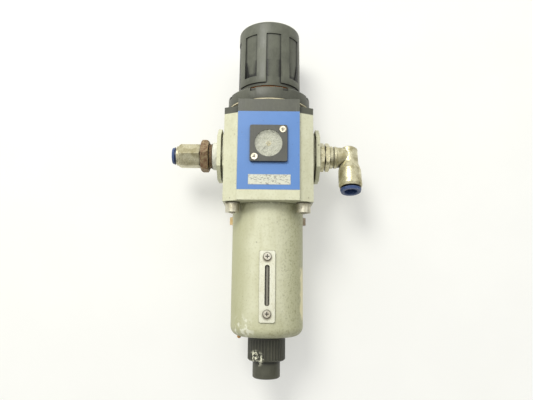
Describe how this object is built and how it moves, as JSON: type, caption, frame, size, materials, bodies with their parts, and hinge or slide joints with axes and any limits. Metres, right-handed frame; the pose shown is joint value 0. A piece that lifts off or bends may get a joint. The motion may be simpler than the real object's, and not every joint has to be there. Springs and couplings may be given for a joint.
{
  "type": "filter regulator",
  "caption": "Compressed-air filter regulator with gauge, lockable pressure knob, metal bowl, sight glass, turn drain and push-in tube fittings.",
  "frame": {"origin": "where the axis of the two ports crosses the vertical axis of the unit", "axes": "+Z towards the knob, -Y towards the gauge and the viewer, +X towards the outlet"},
  "size_m": [0.1539, 0.0778, 0.28],
  "materials": {
    "cream_paint": "cream paint on die-cast aluminium, stained",
    "blue_plate": "satin printed plate, blank",
    "rear_blue": "satin plate",
    "black_plastic": "moulded, worn grey",
    "drain_plastic": "moulded",
    "bezel_plastic": "moulded",
    "orange_plastic": "moulded",
    "pale_washer": "fibre",
    "dial_face": "printed dial",
    "lens_clear": "hazed clear plastic",
    "needle": "painted",
    "label_paper": "blank sticker",
    "screw_steel": "zinc, tarnished",
    "bolt_steel": "zinc, tarnished",
    "inner_metal": "turned",
    "spring_steel": "drawn wire",
    "black_rubber": "nitrile",
    "white_filter": "sintered",
    "inner_plastic": "moulded",
    "sight_metal": "satin plate",
    "sight_clear": "clouded clear plastic",
    "rusty_bushing": "corroded",
    "white_tape": "thread tape",
    "nickel_brass": "worn nickel plate",
    "sleeve_blue": "moulded"
  },
  "bodies": {
    "housing": {"body_casting": "cream_paint", "bowl": "cream_paint", "front_plate": "blue_plate", "rear_plate": "rear_blue", "rear_plate_seal": "black_rubber", "rear_plate_screws": "screw_steel", "data_label": "label_paper", "gauge_bezel": "bezel_plastic", "gauge_lens": "lens_clear", "gauge_dial": "dial_face", "gauge_movement": "inner_metal", "gauge_screws": "screw_steel", "gauge_seal": "black_rubber", "body_bolts": "bolt_steel", "bolt_washers": "bolt_steel", "bonnet": "black_plastic", "panel_nut_washer": "pale_washer", "panel_nut": "black_plastic", "lock_ring": "orange_plastic", "pressure_spring": "spring_steel", "diaphragm": "black_rubber", "valve_seat": "inner_metal", "valve_guide": "inner_plastic", "valve_guide_seal": "black_rubber", "valve_spring": "spring_steel", "swirl_deflector": "inner_plastic", "filter_element": "white_filter", "baffle": "inner_plastic", "bowl_seal": "black_rubber", "sight_plate": "sight_metal", "sight_glass": "sight_clear", "sight_gasket": "black_rubber", "sight_screws": "screw_steel", "drain_collar": "drain_plastic", "drain_collar_seal": "black_rubber", "drain_retainer": "drain_plastic", "drain_pin_seal": "black_rubber", "inlet_bushing": "rusty_bushing", "thread_tape": "white_tape", "inlet_connector": "nickel_brass", "inlet_collet": "spring_steel", "inlet_tube_seal": "black_rubber", "outlet_adapter": "nickel_brass", "swivel_seal": "black_rubber"},
    "screw": {"adjusting_screw": "inner_metal"},
    "knob": {"knob": "black_plastic"},
    "seat": {"spring_seat": "inner_metal"},
    "diaphragm_centre": {"diaphragm_plate": "inner_metal", "diaphragm_disc": "inner_metal"},
    "valve": {"valve_stem": "inner_metal"},
    "drain_grip": {"drain_knob": "drain_plastic"},
    "drain_valve": {"drain_pin": "inner_plastic"},
    "needle": {"gauge_pointer": "needle"},
    "elbow": {"outlet_elbow": "nickel_brass", "outlet_collet": "spring_steel", "outlet_tube_seal": "black_rubber"},
    "inlet_sleeve": {"inlet_release_sleeve": "sleeve_blue"},
    "outlet_sleeve": {"outlet_release_sleeve": "sleeve_blue"}
  },
  "joints": [
    {"name": "knob_turn", "type": "hinge", "parent": "housing", "child": "screw", "pos_m": [0, 0, 0.09], "axis": [0, 0, 1], "range_deg": [-2160, 0]},
    {"name": "knob_pull", "type": "slide", "parent": "screw", "child": "knob", "axis": [0, 0, 1], "range_m": [-0.003, 0]},
    {"name": "seat_travel", "type": "slide", "parent": "housing", "child": "seat", "axis": [0, 0, 1], "range_m": [-0.009, 0], "deforming": ["pressure_spring"]},
    {"name": "diaphragm_stroke", "type": "slide", "parent": "housing", "child": "diaphragm_centre", "axis": [0, 0, 1], "range_m": [-0.0012, 0], "stiffness_N_per_m": 1500, "springref_m": 0.0012, "deforming": ["diaphragm"]},
    {"name": "valve_stroke", "type": "slide", "parent": "housing", "child": "valve", "axis": [0, 0, 1], "range_m": [-0.0012, 0], "deforming": ["valve_spring"]},
    {"name": "drain_turn", "type": "hinge", "parent": "housing", "child": "drain_grip", "pos_m": [0, 0, -0.165], "axis": [0, 0, 1], "range_deg": [0, 90]},
    {"name": "drain_lift", "type": "slide", "parent": "housing", "child": "drain_valve", "axis": [0, 0, 1], "range_m": [-0.0015, 0]},
    {"name": "gauge_needle", "type": "hinge", "parent": "housing", "child": "needle", "pos_m": [0, -0.0366, 0.0005], "axis": [0, 1, 0], "range_deg": [0, 270], "stiffness_Nm_per_rad": 0.0001, "springref_deg": -28.65},
    {"name": "elbow_swivel", "type": "hinge", "parent": "housing", "child": "elbow", "pos_m": [0.06, 0, 0], "axis": [1, 0, 0], "continuous": true},
    {"name": "inlet_release", "type": "slide", "parent": "housing", "child": "inlet_sleeve", "axis": [1, 0, 0], "range_m": [0, 0.0015], "stiffness_N_per_m": 300, "springref_m": -0.001},
    {"name": "outlet_release", "type": "slide", "parent": "elbow", "child": "outlet_sleeve", "axis": [0, 0.225, 0.9744], "range_m": [0, 0.0015], "stiffness_N_per_m": 300, "springref_m": -0.001}
  ],
  "couplings": [
    {"joint": "seat_travel", "follows": "knob_turn", "m_per_rad": 0.00023873},
    {"joint": "valve_stroke", "follows": "diaphragm_stroke", "ratio": 1},
    {"joint": "drain_lift", "follows": "drain_turn", "m_per_rad": -0.00095493}
  ]
}
